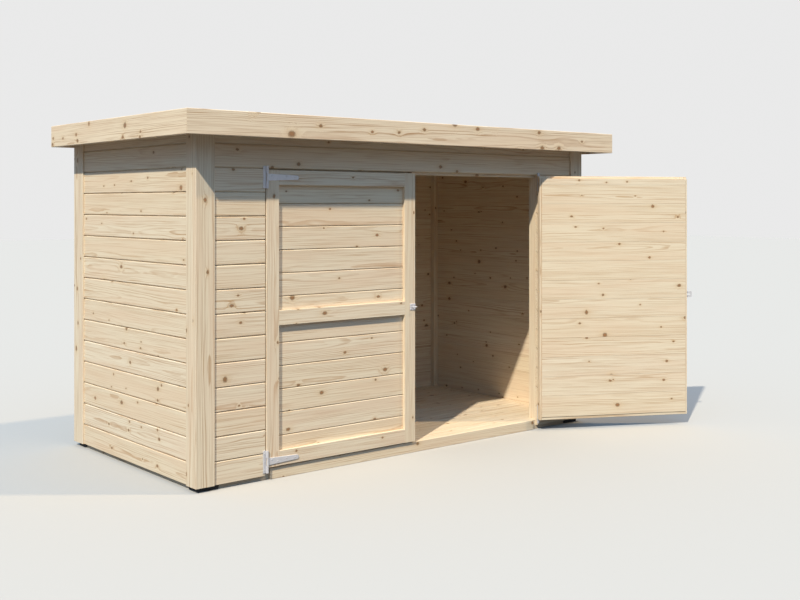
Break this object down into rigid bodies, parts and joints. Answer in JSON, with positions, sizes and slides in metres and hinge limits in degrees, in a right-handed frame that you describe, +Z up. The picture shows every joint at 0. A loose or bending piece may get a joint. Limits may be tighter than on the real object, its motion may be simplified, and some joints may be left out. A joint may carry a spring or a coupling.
{
  "type": "bike shelter",
  "caption": "Low timber bike shelter with boarded walls, a floor, a mono-pitch roof inside a level fascia, and hinged double doors with a hasp.",
  "frame": {"origin": "on the ground under the middle of the floor, on the underside of the middle floor joist", "axes": "+X along the front to the right, +Y from the door side to the back, +Z up"},
  "size_m": [2.7931, 1.5707, 1.5],
  "materials": {
    "wall_boards": "planed untreated spruce",
    "trim_timber": "planed untreated spruce",
    "door_timber": "planed untreated spruce",
    "fascia_timber": "planed untreated spruce",
    "floor_timber": "planed untreated spruce",
    "stud_timber": "planed untreated spruce",
    "roof_timber": "sawn untreated spruce",
    "roof_felt": "matt mineral roofing felt",
    "pads": "matt",
    "zinc_steel": "galvanised"
  },
  "bodies": {
    "shelter": {"corner_posts": "stud_timber", "front_plate": "stud_timber", "back_plate": "stud_timber", "jamb_studs": "stud_timber", "door_lintel": "stud_timber", "back_wall_studs": "stud_timber", "front_sill": "floor_timber", "back_sill": "floor_timber", "side_sills": "floor_timber", "floor_joists": "floor_timber", "floor_deck": "floor_timber", "left_wall_cladding": "wall_boards", "right_wall_cladding": "wall_boards", "front_left_cladding": "wall_boards", "front_right_cladding": "wall_boards", "header_cladding": "wall_boards", "back_wall_cladding": "wall_boards", "front_trims": "trim_timber", "front_side_trims": "trim_timber", "back_side_trims": "trim_timber", "back_trims": "trim_timber", "roof_joists": "roof_timber", "roof_deck": "roof_timber", "front_fascia": "fascia_timber", "left_fascia": "fascia_timber", "right_fascia": "fascia_timber", "back_roof_board": "fascia_timber", "roof_felt": "roof_felt", "corner_pads": "pads", "hinge_plates": "zinc_steel"},
    "left_door": {"left_door_boards": "door_timber", "left_door_hinge_stile": "door_timber", "left_door_lock_stile": "door_timber", "left_door_bottom_rail": "door_timber", "left_door_mid_rail": "door_timber", "left_door_top_rail": "door_timber", "left_hinge_straps": "zinc_steel", "left_door_staple": "zinc_steel"},
    "right_door": {"right_door_boards": "door_timber", "right_door_hinge_stile": "door_timber", "right_door_lock_stile": "door_timber", "right_door_bottom_rail": "door_timber", "right_door_mid_rail": "door_timber", "right_door_top_rail": "door_timber", "right_hinge_straps": "zinc_steel", "right_hasp_base": "zinc_steel"},
    "hasp_leaf": {"right_hasp_leaf": "zinc_steel"}
  },
  "joints": [
    {"name": "left_door_hinge", "type": "hinge", "parent": "shelter", "child": "left_door", "pos_m": [-0.805, -0.5795, 0.665], "axis": [0, 0, 1], "range_deg": [-170, 0]},
    {"name": "right_door_hinge", "type": "hinge", "parent": "shelter", "child": "right_door", "pos_m": [0.805, -0.5795, 0.665], "axis": [0, 0, 1], "range_deg": [-152.5, 17.5]},
    {"name": "hasp_hinge", "type": "hinge", "parent": "right_door", "child": "hasp_leaf", "pos_m": [1.50396, -0.94336, 0.668], "axis": [0, 0, 1], "range_deg": [0, 170]}
  ]
}
